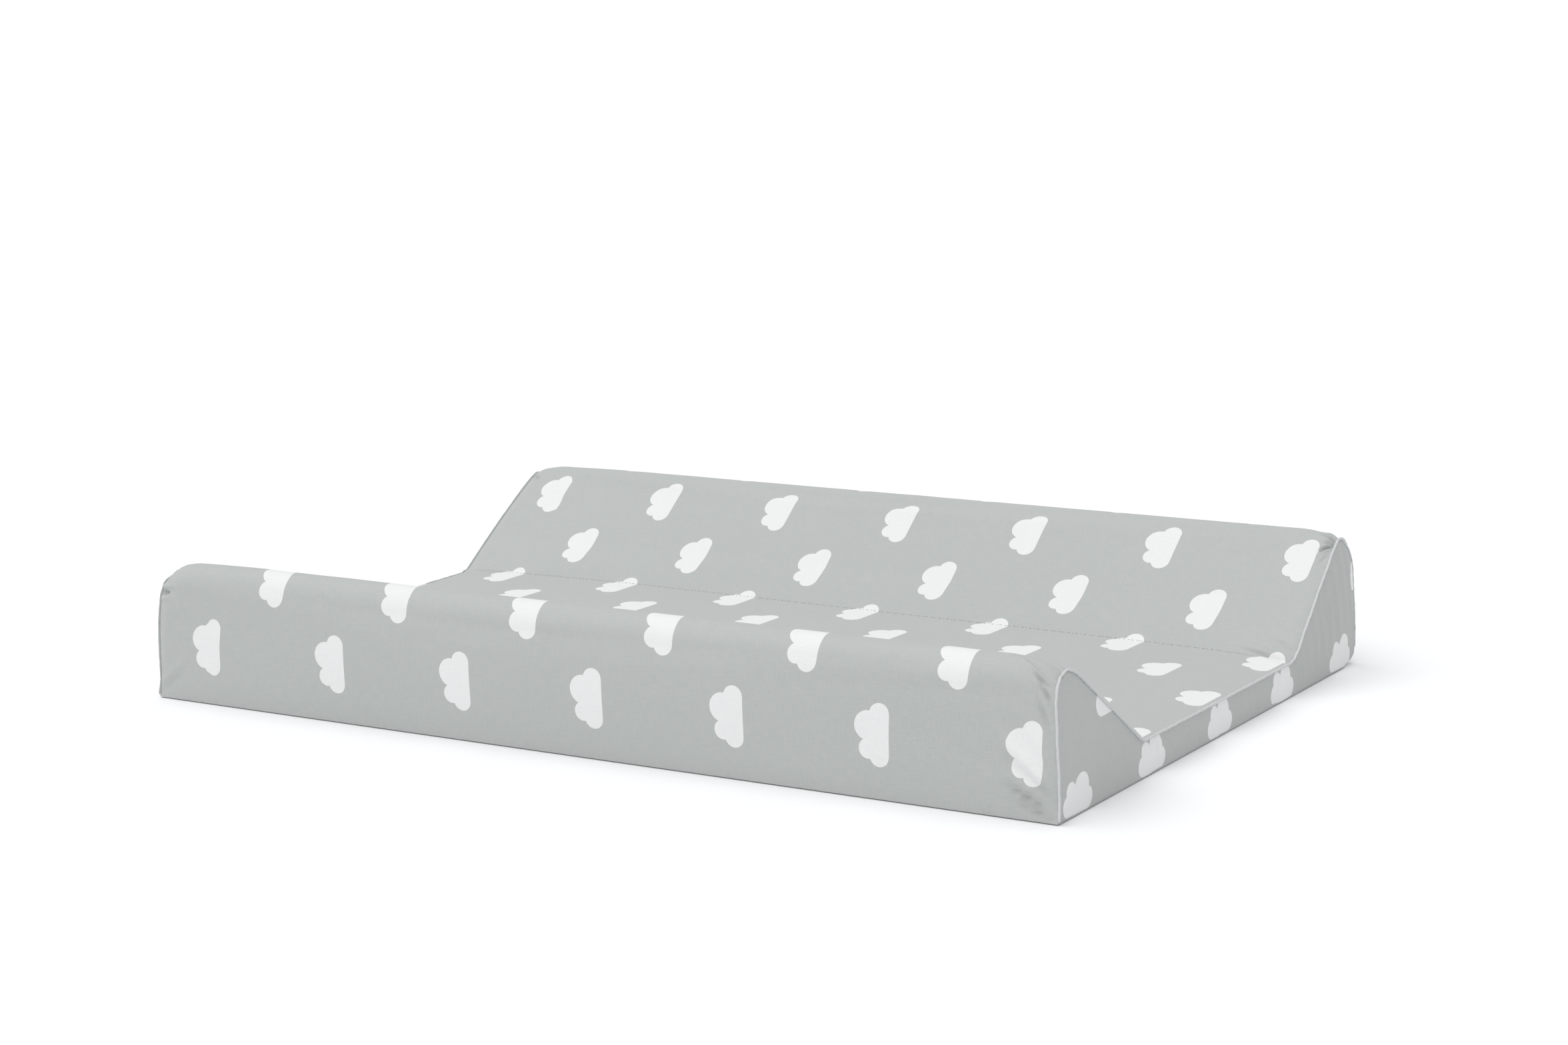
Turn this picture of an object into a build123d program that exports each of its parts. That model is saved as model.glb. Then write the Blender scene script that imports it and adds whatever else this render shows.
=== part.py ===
from build123d import *
import os
from math import asin, atan2, cos, degrees, hypot, sin, tan

# A baby changing pad: a soft tray with a raised wedge along each long side.
# Three blocks of foam lie side by side in a sewn cover, and webs of lining inside the cover keep
# them apart and hold the two creases down. The cover closes with a coil zip across one end.
#
# Frame: millimetres, +Z up, the pad lies on Z = 0 with the origin under its middle.
# X runs along the wedges, Y runs across them from the front wedge to the rear one.
# The zip is at the -X end.

# --- driving dimensions: the pad ---
pad_length = 750.0  # along X, over the two end panels
pad_width = 500.0  # along Y, over the two outer walls
pad_height = 102.0  # from the floor to the top of a wedge
lying_height = 26.0  # from the floor to the surface that the baby lies on
wedge_width = 125.0  # from a wedge's outer wall to its crease
ridge_radius = 16.0  # the rounded top of a wedge

# --- the cover ---
cover_thickness = 0.8  # coated cotton
base_thickness = 0.8  # plain cloth of the underside
lining_thickness = 0.4  # webs between the foam blocks
welt_out = 1.2  # how far an end welt stands out of the pad's outline
welt_in = 1.4  # how far it lies over the end panel
welt_depth = 2.4  # how far it stands out of the end panel's face
seam_out = 1.2  # the seam round the underside, beyond the walls
seam_height = 2.2
thread_width = 0.6  # the row of stitches along each crease
thread_thickness = 0.3
thread_rise = 0.55  # up the slope from the crease: clear of the lying face and over the web
thread_end = 4.0  # from a welt to the row's first stitch

# --- the zip ---
zip_margin = 35.0  # from an outer wall to the end of the zip's coil
tape_thickness = 0.5
tape_gap = 1.8  # between the two tapes
tape_margin = 1.0  # from the lower tape to the underside
coil_width = 2.2
coil_thickness = 1.8
coil_gap = 1.0  # between the two rows, where the slider's post runs
coil_edge = 0.6
stop_length = 2.2
stop_proud = 0.6  # how much wider and thicker than the coil a stop is
slider_length = 13.0
slider_flange = 0.95  # wall beside the coil, at the tail
slider_flare = 0.6  # how much further out each side is at the mouth
slider_corner = 1.2
cast_edge = 0.3  # the rounded edge of the slider's castings and of the tab
slider_plate = 1.1  # outer plate
slider_back_plate = 0.9  # plate behind the tapes
slider_clearance = 0.25  # between the slider and what it slides over
slider_end_gap = 0.3  # between the slider and a stop at each end of its travel
core_clearance = 0.6  # between the slider's back plate and the foam
post_clearance = 0.15  # between the slider's post and each row of coil
post_length = 3.0
window_clearance = 0.5  # between the slider's mouth and the end panel's window
window_end = 3.8  # the window's length beyond each stop
tape_tail = 4.0  # tape beyond each end of the window

# --- the pull tab and the crown that it hangs from ---
crown_length = 8.0
crown_width = 1.6
crown_wall = 1.8  # each foot, along the zip
crown_top = 1.0
crown_corner = 1.0
pivot_radius = 0.55
pivot_clearance = 0.15  # between the pivot and the slider's plate
pivot_play = 0.45  # between the pivot and the top of the crown
tab_length = 27.0
tab_border = 1.7  # material on each side of the tab's hole
tab_corner = 2.85
tab_arm = 1.2  # width of each arm beside the crown
tab_side_clearance = 0.3
tab_end_clearance = 0.5  # between the crown and the solid part of the tab
tab_hole_length = 7.0
tab_hole_width = 2.6
tab_hole_end = 3.5  # from the hole to the tab's end

# --- worked out from the dimensions above ---
half_length = pad_length / 2
half_width = pad_width / 2
crease_y = half_width - wedge_width

ridge_run = wedge_width - ridge_radius
ridge_rise = pad_height - ridge_radius - lying_height
slope = atan2(ridge_rise, ridge_run) + asin(ridge_radius / hypot(ridge_run, ridge_rise))

zip_height = lying_height / 2
coil_half = half_width - zip_margin
tape_width = zip_height - base_thickness - tape_margin
tape_face = -half_length + cover_thickness
tape_back = tape_face + tape_thickness
coil_face = tape_face - coil_thickness
coil_outer = coil_gap / 2 + coil_width
slider_tail_half = coil_outer + slider_clearance + slider_flange
slider_mouth_half = slider_tail_half + slider_flare
window_height = 2 * (slider_mouth_half + window_clearance)
window_half = coil_half + stop_length + window_end
tape_half = window_half + tape_tail
back_plate_face = tape_back + slider_clearance
core_start = back_plate_face + slider_back_plate + core_clearance
core_end = half_length - cover_thickness
slider_y = -coil_half + slider_end_gap + slider_length / 2
slider_travel = 2 * (coil_half - slider_end_gap) - slider_length
plate_under = coil_face - slider_clearance
plate_top = plate_under - slider_plate
pivot_x = plate_top - pivot_clearance - pivot_radius


def cross_section(inset, low):
    """The pad's outline, looking along the wedges, moved in by inset and cut off level at low."""
    wall = half_width - inset
    top = lying_height - inset
    crease = crease_y + inset * tan(slope / 2)
    apex = lying_height + (sin(slope) * (wedge_width - inset) - inset) / cos(slope)
    outline = Polyline(
        (-wall, low),
        (-wall, apex),
        (-crease, top),
        (crease, top),
        (wall, apex),
        (wall, low),
        close=True,
    )
    face = make_face(outline)
    peaks = face.vertices().sort_by(Axis.Y)[-2:]
    return fillet(peaks, ridge_radius - inset)


def along_pad(face, start, end):
    """Extrudes an outline from X = start to X = end."""
    return extrude(Plane.YZ.offset(start) * face, amount=end - start)


def block(x, y, z):
    """A box between three (low, high) pairs."""
    size = [high - low for low, high in (x, y, z)]
    centre = [(low + high) / 2 for low, high in (x, y, z)]
    return Pos(*centre) * Box(*size)


def save(shape, name):
    shape.label = name
    export_step(shape, f"parts/{name}.step")


# --- foam core: a wedge, a slab and a wedge, kept apart by the webs ---
def foam_core():
    inside = along_pad(cross_section(cover_thickness, base_thickness), core_start, core_end)
    web_y = crease_y + cover_thickness * tan(slope / 2)
    web_half = lining_thickness / 2
    length = (core_start, core_end)
    height = (0, pad_height)
    front = inside & block(length, (-half_width, -web_y - web_half), height)
    rear = inside & block(length, (web_y + web_half, half_width), height)
    slab = inside & block(length, (-web_y + web_half, web_y - web_half), height)
    save(front, "foam_wedge_front")
    save(rear, "foam_wedge_rear")
    save(slab, "foam_slab")

    web_height = (base_thickness, lying_height - cover_thickness)
    for name, y in (("front", -web_y), ("rear", web_y)):
        web = block(length, (y - web_half, y + web_half), web_height)
        save(web, f"divider_web_{name}")


# --- cover: one long panel over the top and both walls, two end panels and the underside ---
def cover():
    outer = cross_section(0, base_thickness)
    inner = cross_section(cover_thickness, base_thickness)
    save(along_pad(outer - inner, -half_length, half_length), "top_panel")
    save(along_pad(inner, half_length - cover_thickness, half_length), "end_panel_right")

    zip_end = along_pad(inner, -half_length, tape_face)
    window = SlotOverall(2 * window_half, window_height)
    hole = along_pad(Pos(0, zip_height) * window, -half_length - 1, tape_face + 1)
    save(zip_end - hole, "end_panel_left")

    rim_x = half_length + seam_out
    rim_y = half_width + seam_out
    save(block((-rim_x, rim_x), (-rim_y, rim_y), (0, base_thickness)), "base_panel")


# --- raised seams: a welt round the top of each end, and a low one round the underside ---
def raised_seams():
    seam_top = base_thickness + seam_height
    welt = cross_section(-welt_out, seam_top) - cross_section(welt_in, seam_top)
    save(along_pad(welt, half_length, half_length + welt_depth), "welt_right")
    save(along_pad(welt, -half_length - welt_depth, -half_length), "welt_left")

    rim = Rectangle(pad_length + 2 * seam_out, pad_width + 2 * seam_out)
    rim -= Rectangle(pad_length, pad_width)
    save(Pos(0, 0, base_thickness) * extrude(rim, amount=seam_height), "base_seam")


# --- the row of stitches that ties the cover down to a web along each crease ---
def crease_threads():
    row = Box(pad_length - 2 * thread_end, thread_width, thread_thickness)
    y = crease_y + thread_rise * cos(slope)
    z = lying_height + thread_rise * sin(slope)
    lift = Pos(0, 0, thread_thickness / 2)
    tilt = degrees(slope)
    save(Pos(0, -y, z) * Rot(-tilt, 0, 0) * lift * row, "crease_thread_front")
    save(Pos(0, y, z) * Rot(tilt, 0, 0) * lift * row, "crease_thread_rear")


# --- zip: two tapes behind the window, a row of coil on each, and the stops at their ends ---
def zip_chain():
    tape_y = (-tape_half, tape_half)
    coil_y = (-coil_half, coil_half)
    top_stops = []
    for name, side in (("upper", 1), ("lower", -1)):
        near = zip_height + side * tape_gap / 2
        far = zip_height + side * tape_width
        tape = block((tape_face, tape_back), tape_y, (min(near, far), max(near, far)))
        save(tape, f"zip_tape_{name}")

        near = zip_height + side * coil_gap / 2
        far = zip_height + side * coil_outer
        coil = block((coil_face, tape_face), coil_y, (min(near, far), max(near, far)))
        outer_edges = coil.edges().filter_by(Axis.Y).sort_by(Axis.X)[:2]
        save(fillet(outer_edges, coil_edge), f"zip_coil_{name}")

        far = zip_height + side * (coil_outer + stop_proud)
        stop_y = (-coil_half - stop_length, -coil_half)
        stop_x = (coil_face - stop_proud, tape_face)
        top_stops.append(block(stop_x, stop_y, (min(near, far), max(near, far))))
    save(Compound(top_stops), "zip_top_stops")

    reach = coil_outer + stop_proud
    bottom_stop = block(
        (coil_face - stop_proud, tape_face),
        (coil_half, coil_half + stop_length),
        (zip_height - reach, zip_height + reach),
    )
    save(bottom_stop, "zip_bottom_stop")


# --- slider: an outer plate with flanges over the coil, a back plate, and the post joining them ---
def zip_slider():
    front = slider_y - slider_length / 2
    back = slider_y + slider_length / 2
    outline = Polyline(
        (front, -slider_mouth_half),
        (back, -slider_tail_half),
        (back, slider_tail_half),
        (front, slider_mouth_half),
        close=True,
    )
    plate = Pos(0, zip_height) * fillet(make_face(outline).vertices(), slider_corner)
    channel = Pos(slider_y, zip_height) * Rectangle(
        2 * slider_length, 2 * (coil_outer + slider_clearance)
    )
    body = along_pad(plate, plate_top, tape_face - slider_clearance)
    body = fillet(body.faces().sort_by(Axis.X)[0].edges(), cast_edge)
    body -= along_pad(channel, plate_under, tape_face)
    back_plate = along_pad(plate, back_plate_face, back_plate_face + slider_back_plate)
    body += fillet(back_plate.faces().sort_by(Axis.X)[-1].edges(), cast_edge)
    post_half = coil_gap / 2 - post_clearance
    body += block(
        (plate_under, back_plate_face),
        (front, front + post_length),
        (zip_height - post_half, zip_height + post_half),
    )
    body += crown()
    save(body, "zip_slider")


def crown():
    """The arch on the slider's outer plate that the pull tab hangs from."""
    tunnel_depth = pivot_clearance + 2 * pivot_radius + pivot_play
    peak = plate_top - tunnel_depth - crown_top
    arch = make_face(
        Polyline(
            (plate_top, slider_y - crown_length / 2),
            (peak, slider_y - crown_length / 2),
            (peak, slider_y + crown_length / 2),
            (plate_top, slider_y + crown_length / 2),
            close=True,
        )
    )
    arch = fillet(arch.vertices().sort_by(Axis.X)[:2], crown_corner)
    tunnel = Pos(plate_top - tunnel_depth / 2, slider_y) * Rectangle(
        tunnel_depth, crown_length - 2 * crown_wall
    )
    solid = Pos(0, 0, zip_height - crown_width / 2) * extrude(arch - tunnel, amount=crown_width)
    rims = [edge for face in solid.faces().filter_by(Axis.Z) for edge in face.edges()]
    return fillet([edge for edge in rims if edge.center().X < plate_top - cast_edge], cast_edge)


# --- pull tab: a flat tag on two arms, with a round bar through the crown ---
def pull_tab():
    reach = crown_length / 2 + tab_end_clearance
    arm_inner = crown_width / 2 + tab_side_clearance
    arm_outer = arm_inner + tab_arm
    width = tab_hole_width + 2 * tab_border
    tag = Pos((reach + tab_length) / 2, 0) * RectangleRounded(tab_length - reach, width, tab_corner)
    neck = Pos((reach + width / 2) / 2, 0) * Rectangle(reach + width / 2, 2 * arm_outer)
    window = Pos(reach / 2, 0) * Rectangle(reach, 2 * arm_inner)
    hole_x = tab_length - tab_hole_end - tab_hole_length / 2
    hole = Pos(hole_x, 0) * SlotOverall(tab_hole_length, tab_hole_width)
    outline = Pos(slider_y, zip_height) * (tag + neck - window - hole)
    tab = along_pad(outline, pivot_x - pivot_radius, pivot_x + pivot_radius)
    tab = fillet([edge for face in tab.faces().filter_by(Axis.X) for edge in face.edges()], cast_edge)
    tab += Pos(pivot_x, slider_y, zip_height) * Cylinder(pivot_radius, 2 * arm_outer)
    save(tab, "zip_pull_tab")


os.makedirs("parts", exist_ok=True)
foam_core()
cover()
raised_seams()
crease_threads()
zip_chain()
zip_slider()
pull_tab()
print(f"slope {degrees(slope):.2f} degrees, slider travel {slider_travel:.1f}")
print(f"slider at Y {slider_y:.2f}, pull tab pivot at X {pivot_x:.2f} Z {zip_height:.2f}")
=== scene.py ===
import math

import bpy
import numpy as np
from mathutils import Matrix, Vector, noise


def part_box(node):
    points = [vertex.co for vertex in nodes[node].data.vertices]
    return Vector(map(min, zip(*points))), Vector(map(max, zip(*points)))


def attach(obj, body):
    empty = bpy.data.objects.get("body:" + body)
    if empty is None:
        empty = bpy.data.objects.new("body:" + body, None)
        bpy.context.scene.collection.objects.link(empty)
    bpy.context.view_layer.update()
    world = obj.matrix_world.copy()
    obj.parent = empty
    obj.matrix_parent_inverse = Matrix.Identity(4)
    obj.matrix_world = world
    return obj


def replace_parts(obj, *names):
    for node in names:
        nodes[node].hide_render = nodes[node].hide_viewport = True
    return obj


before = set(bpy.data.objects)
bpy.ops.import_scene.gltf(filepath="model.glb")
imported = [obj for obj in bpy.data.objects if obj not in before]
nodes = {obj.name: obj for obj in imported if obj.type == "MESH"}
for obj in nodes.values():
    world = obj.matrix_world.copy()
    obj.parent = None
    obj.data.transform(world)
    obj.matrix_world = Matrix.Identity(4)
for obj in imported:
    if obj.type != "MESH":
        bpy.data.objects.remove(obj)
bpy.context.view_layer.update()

scene = bpy.context.scene

# --- Camera, light and floor ---
# A pale floor under even white studio light, with one broad soft lamp overhead.
# The camera looks down a little at the pad's front right corner.
azimuth, elevation, roll = math.radians(31.67), math.radians(10.64), math.radians(-1.19)
reach = math.cos(elevation)
back = Vector((math.sin(azimuth) * reach, -math.cos(azimuth) * reach, math.sin(elevation)))
level = (-back).cross(Vector((0, 0, 1))).normalized()
upright = level.cross(-back)
right = level * math.cos(roll) + upright * math.sin(roll)
up = upright * math.cos(roll) - level * math.sin(roll)
bpy.ops.object.select_all(action="DESELECT")
bpy.ops.object.camera_add()
camera = bpy.context.object
camera.data.lens = 72.57
camera.data.sensor_width = 36
camera.data.clip_end = 100
stand = Matrix.Translation(back * 2.3811 + level * 0.01902 + upright * 0.11829)
camera.matrix_world = stand @ Matrix((right, up, back)).transposed().to_4x4()
scene.camera = camera
scene.view_settings.view_transform = "Standard"

scene.world = bpy.data.worlds.new("studio")
scene.world.use_nodes = True
scene.world.node_tree.nodes["Background"].inputs["Color"].default_value = (0.985, 0.99, 1.0, 1)
scene.world.node_tree.nodes["Background"].inputs["Strength"].default_value = 0.7

bpy.ops.object.light_add(type="SUN", location=(-0.6, -0.8, 3))
overhead = bpy.context.object
overhead.name = "overhead_bank"
overhead.data.energy = 1.45
overhead.data.angle = 1.4
overhead.rotation_euler = Vector((0.11, 0.14, -0.42)).to_track_quat("-Z", "Y").to_euler()

bpy.ops.mesh.primitive_plane_add(size=60, location=(0, 0, 0))
studio_floor = bpy.context.object
studio_floor.name = "studio_floor"
floor_material = bpy.data.materials.new("pale_floor")
floor_material.use_nodes = True
floor_shader = floor_material.node_tree.nodes["Principled BSDF"]
floor_shader.inputs["Base Color"].default_value = (0.95, 0.955, 0.965, 1)
floor_shader.inputs["Roughness"].default_value = 0.9
studio_floor.data.materials.append(floor_material)


# --- The long printed panel ---
# One length of coated cotton, cut 750 by 739 mm, goes up the front wall, over the front wedge, across
# the lying surface and over the rear wedge. It is stitched down at both creases and sewn to the ends.
panel_low, panel_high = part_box("top_panel")
half_length, half_width, pad_top = panel_high
base_top = panel_low.z
lying_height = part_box("foam_slab")[1].z + 0.0008
crease_y = 0.125
ridge_radius = 0.016
ridge_rise = pad_top - ridge_radius - lying_height
ridge_run = half_width - crease_y - ridge_radius
slope = math.atan2(ridge_rise, ridge_run) + math.asin(ridge_radius / math.hypot(ridge_run, ridge_rise))
wall_length = pad_top - ridge_radius
ridge_turn = math.pi / 2 + slope
ridge_length = ridge_radius * ridge_turn
ridge_end_y = -half_width + ridge_radius - ridge_radius * math.cos(ridge_turn)
ridge_end_z = wall_length + ridge_radius * math.sin(ridge_turn)
slope_length = (-crease_y - ridge_end_y) / math.cos(slope)
front_crease = wall_length + ridge_length + slope_length
flat_length = 2 * crease_y
cloth_length = 2 * front_crease + flat_length
rear_crease = front_crease + flat_length
hem_lift = 0.0032
hem_corner = 0.009


def crease_rise(x):
    """How far the foam lifts the creases above their height at the pad's two ends."""
    at = [-0.375, -0.362, -0.3, -0.2, 0, 0.15, 0.25, 0.32, 0.352, 0.366, 0.375]
    rise = [0.5, 3.5, 4.8, 6.0, 5.0, 4.5, 4.0, 3.2, 1.8, 0.6, 0]
    return np.interp(x, at, rise) * 1e-3


def cut_rows():
    """Rows across the cloth from its front edge: (arc, y, z, normal y, normal z)."""
    front = []
    for z in list(np.linspace(base_top, 0.07, 12)[:-1]) + list(np.linspace(0.07, wall_length, 9)[:-1]):
        front.append((z, -half_width, z, -1, 0))
    for turned in np.linspace(0, ridge_turn, 17)[:-1]:
        y = -half_width + ridge_radius - ridge_radius * math.cos(turned)
        z = wall_length + ridge_radius * math.sin(turned)
        front.append((wall_length + ridge_radius * turned, y, z, -math.cos(turned), math.sin(turned)))
    brow = np.linspace(0, 0.015, 9)[:-1]
    middle = np.linspace(0.015, slope_length * 6 / 7, 24)[:-1]
    foot = np.linspace(slope_length * 6 / 7, slope_length, 8)[:-1]
    for down in np.concatenate([brow, middle, foot, [slope_length - 0.001]]):
        y = ridge_end_y + down * math.cos(slope)
        z = ridge_end_z - down * math.sin(slope)
        front.append((wall_length + ridge_length + down, y, z, math.sin(slope), math.cos(slope)))
    middle = []
    inner = np.linspace(0, flat_length, 41)[1:-1]
    steps = np.concatenate([[0, 0.001], inner, [flat_length - 0.001, flat_length]])
    for across in steps:
        middle.append((front_crease + across, -crease_y + across, lying_height, 0, 1))
    rear = [(cloth_length - s, -y, z, -ny, nz) for s, y, z, ny, nz in reversed(front)]
    return np.array(front + middle + rear)


def cut_columns():
    """Columns along the cloth, close together near the two ends, where it puckers."""
    fine = np.concatenate([np.arange(20) * 0.0012, 0.024 + np.arange(10) * 0.0026])
    middle = np.linspace(-half_length + 0.05, half_length - 0.05, 51)
    return np.concatenate([-half_length + fine, middle, (half_length - fine)[::-1]])


def ripples(a, b, pace_a, pace_b, seed):
    """Smooth noise at pairs of places, at its own pace in each direction."""
    return np.array([noise.noise(Vector((p * pace_a, q * pace_b, seed))) for p, q in zip(a, b)])


def ease(t):
    """0 below 0, 1 above 1 and smooth between."""
    t = np.clip(t, 0, 1)
    return t * t * (3 - 2 * t)


def rear_lift(y):
    """How far the hem is lifted off the ground toward the rear corners, from 0 to 1."""
    return ease((y - 0.225) / 0.018)


def lean_in(z, side):
    """How far an end of the pad leans in at height z. The zip's end stays upright beside the zip."""
    if side > 0:
        return 0.0012 + 0.0052 * (z / 0.1) ** 2
    return 0.007 * np.clip((z - 0.027) / 0.075, 0, 1) ** 2


def wrapped(rows, columns):
    """The cloth laid round the foam: places by row and column, and the outward direction of each row."""
    arc, y, z, ny, nz = (rows[:, k, None] for k in range(5))
    x = columns[None, :]
    along = 1 - (np.abs(x) / half_length) ** 4
    on_wall = np.sin(np.pi * np.clip(z / wall_length, 0, 1)) * (np.abs(ny) > 0.99)
    up_slope = np.clip((arc - wall_length - ridge_length) / slope_length, 0, 1)
    down_slope = np.clip((arc - rear_crease) / slope_length, 0, 1)
    on_slope = np.sin(np.pi * up_slope) * (up_slope < 1) + np.sin(np.pi * down_slope)
    on_flat = np.sin(np.pi * np.clip((arc - front_crease) / flat_length, 0, 1))
    swell = (0.0012 * on_wall + 0.001 * on_slope + 0.0004 * on_flat) * along
    marks = [0, 0.06, 0.078, 0.086, 0.098, 0.111, 0.121, 0.127, 0.134, 0.244, 0.4946, 0.508, 0.525, 0.56]
    marks = marks + [0.6, 0.612, 0.618, 0.625, 0.636, 0.645, 0.6533, 0.661, 0.668, 0.7, 0.7393]
    right_end = [0, 0, -1.5, -4.2, -7.6, -8.0, -3.6, -1.4, -0.4, 0, 0, -2.0, 0, 2.0]
    right_end = right_end + [2.4, 1.9, 0.6, -2.4, -6.2, -6.0, -3.0, 0.8, 2.4, 1.8, 0]
    left_end = [0, 0, -1.5, -4.4, -7.6, -7.8, -3.6, -1.4, -0.4, 0, 0, -0.4, 0, 0.5]
    left_end = left_end + [0.8, 0.4, -0.4, -3.0, -6.6, -7.0, -4.6, -1.4, 0, 0, 0]
    inset = np.where(x > 0, np.interp(arc, marks, right_end), np.interp(arc, marks, left_end)) * 1e-3
    reach = np.where(x > 0, 0.04, 0.03)
    fall = np.clip((np.abs(x) - half_length + reach) / reach, 0, 1) ** 2
    slow = ease((np.abs(x) - 0.3) / 0.072)
    swell = swell + inset * np.where(inset < -0.0005, fall, slow)
    depth = np.where(x > 0, 0.0012, 0.0032)
    turned = np.clip((np.abs(x) - half_length + 0.01) / 0.01, 0, 1) ** 2
    on_top = 1 - 0.6 * ((z < lying_height + 0.004) & (np.abs(y) < crease_y + 0.004))
    off_edges = ease((arc - 0.002) / 0.01) * ease((cloth_length - arc - 0.002) / 0.01)
    swell = swell - depth * turned * on_top * off_edges
    high = np.clip((z - 0.085) / 0.015, 0, 1)
    spots = [front_crease - 0.05, front_crease, front_crease + 0.03, rear_crease - 0.03, rear_crease, 0.54]
    share = np.interp(arc, spots, [0, 0.8, 0.85, 0.85, 1, 0])
    toward_left = ease((half_length + x) / 0.09)
    lift = 0.0014 * high * (1 - fall) * toward_left + crease_rise(x) * share
    pull = lean_in(z, 1) * (x > 0) + lean_in(z, -1) * (x < 0)
    place_x = x - np.sign(x) * pull * (np.abs(x) / half_length) ** 8
    place_y = y + ny * swell
    place_z = z + nz * swell + lift
    low = np.clip((base_top + hem_corner - place_z) / hem_corner, 0, 1)
    rounded = half_width - hem_corner + hem_corner * np.sqrt(1 - low**2)
    near_corner = ease((np.abs(x) - 0.345) / 0.025) * (y > 0.24)
    place_y = np.where(place_y > rounded, place_y + (rounded - place_y) * near_corner, place_y)
    place_z = place_z + hem_lift * low**3 * near_corner
    shape = np.stack(np.broadcast_arrays(place_x, place_y, place_z), -1)
    normal = np.stack(np.broadcast_arrays(0 * x * ny, ny + 0 * x, nz + 0 * x), -1)
    return shape, normal


def flat_cloth(name, columns, rows):
    """A flat grid of cloth with a known row and column for every corner."""
    bpy.ops.object.select_all(action="DESELECT")
    bpy.ops.mesh.primitive_grid_add(x_subdivisions=columns - 1, y_subdivisions=rows - 1, size=1)
    piece = bpy.context.object
    piece.name = name
    piece.data.name = name
    flat = places(piece)
    column = np.rint((flat[:, 0] + 0.5) * (columns - 1)).astype(int)
    row = np.rint((flat[:, 1] + 0.5) * (rows - 1)).astype(int)
    return piece, row, column


def places(piece):
    """Where a mesh's points are."""
    found = np.zeros(len(piece.data.vertices) * 3, np.float32)
    piece.data.vertices.foreach_get("co", found)
    return found.reshape(-1, 3).astype(float)


def move_to(piece, where):
    """Puts a mesh's points at these places."""
    piece.data.vertices.foreach_set("co", np.asarray(where, np.float32).ravel())
    piece.data.update()


def lay_map(piece, name, corners):
    """A UV map in metres, from one pair of numbers for each corner of each face."""
    layer = piece.data.uv_layers.get(name) or piece.data.uv_layers.new(name=name)
    layer.data.foreach_set("uv", np.asarray(corners, np.float32).ravel())


def lay_weave(piece, u, v):
    """Lays the weave by each point's place and takes off the map that the grid came with."""
    point, face = corner_points(piece)
    lay_map(piece, "weave", np.stack([u, v], -1)[point])
    drop_first_map(piece)


def corner_points(piece):
    """The point and the face that each face corner belongs to."""
    point = np.zeros(len(piece.data.loops), np.int32)
    piece.data.loops.foreach_get("vertex_index", point)
    sides = np.zeros(len(piece.data.polygons), np.int32)
    piece.data.polygons.foreach_get("loop_total", sides)
    return point, np.repeat(np.arange(len(sides)), sides)


def mark(piece, name, weights):
    """A vertex group with one weight for each point."""
    group = piece.vertex_groups.new(name=name)
    for index in np.flatnonzero(np.asarray(weights) > 0.001):
        group.add([int(index)], float(weights[index]), "REPLACE")


def settle(piece, outward, held, slack, pressure, ease_in, cap):
    """Lets a sewn panel swell and pucker by cloth simulation, held where held is 1, over firm foam."""
    mark(piece, "held", held)
    mark(piece, "slack", slack)
    start = places(piece)
    bpy.context.view_layer.objects.active = piece
    cloth = piece.modifiers.new("settle", "CLOTH")
    values = dict(quality=6, mass=0.2, tension_stiffness=20, compression_stiffness=20, shear_stiffness=8)
    values |= dict(bending_stiffness=0.05, vertex_group_mass="held", vertex_group_shrink="slack")
    values |= dict(shrink_min=0, shrink_max=-ease_in, use_pressure=True, uniform_pressure_force=pressure)
    for name, value in values.items():
        setattr(cloth.settings, name, value)
    cloth.settings.effector_weights.gravity = 0
    cloth.collision_settings.use_collision = False
    cloth.point_cache.frame_start = 1
    cloth.point_cache.frame_end = 20
    for number in range(1, 21):
        scene.frame_set(number)
    bpy.ops.object.modifier_apply(modifier=cloth.name)
    scene.frame_set(1)
    step = places(piece) - start
    inward = np.sum(step * outward, axis=1)
    step += outward * (np.maximum(inward, -0.0005) - inward)[:, None]
    length = np.maximum(np.linalg.norm(step, axis=1), 1e-9)
    evened = min(1, cap / np.percentile(length, 98))
    move_to(piece, start + step * np.minimum(evened, cap / length)[:, None])


def smooth(piece):
    """Shades a mesh smoothly."""
    piece.data.polygons.foreach_set("use_smooth", np.ones(len(piece.data.polygons), bool))


def drop_first_map(piece):
    """Takes off the map that the grid came with, once the piece has its own."""
    piece.data.uv_layers.remove(piece.data.uv_layers["UVMap"])


def finish_cloth(piece):
    """Rounds a cloth panel with one subdivision and smooth shading."""
    bpy.context.view_layer.objects.active = piece
    soften = piece.modifiers.new("soften", "SUBSURF")
    soften.levels = 1
    soften.render_levels = 1
    soften.uv_smooth = "NONE"
    bpy.ops.object.modifier_apply(modifier=soften.name)
    smooth(piece)


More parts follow.
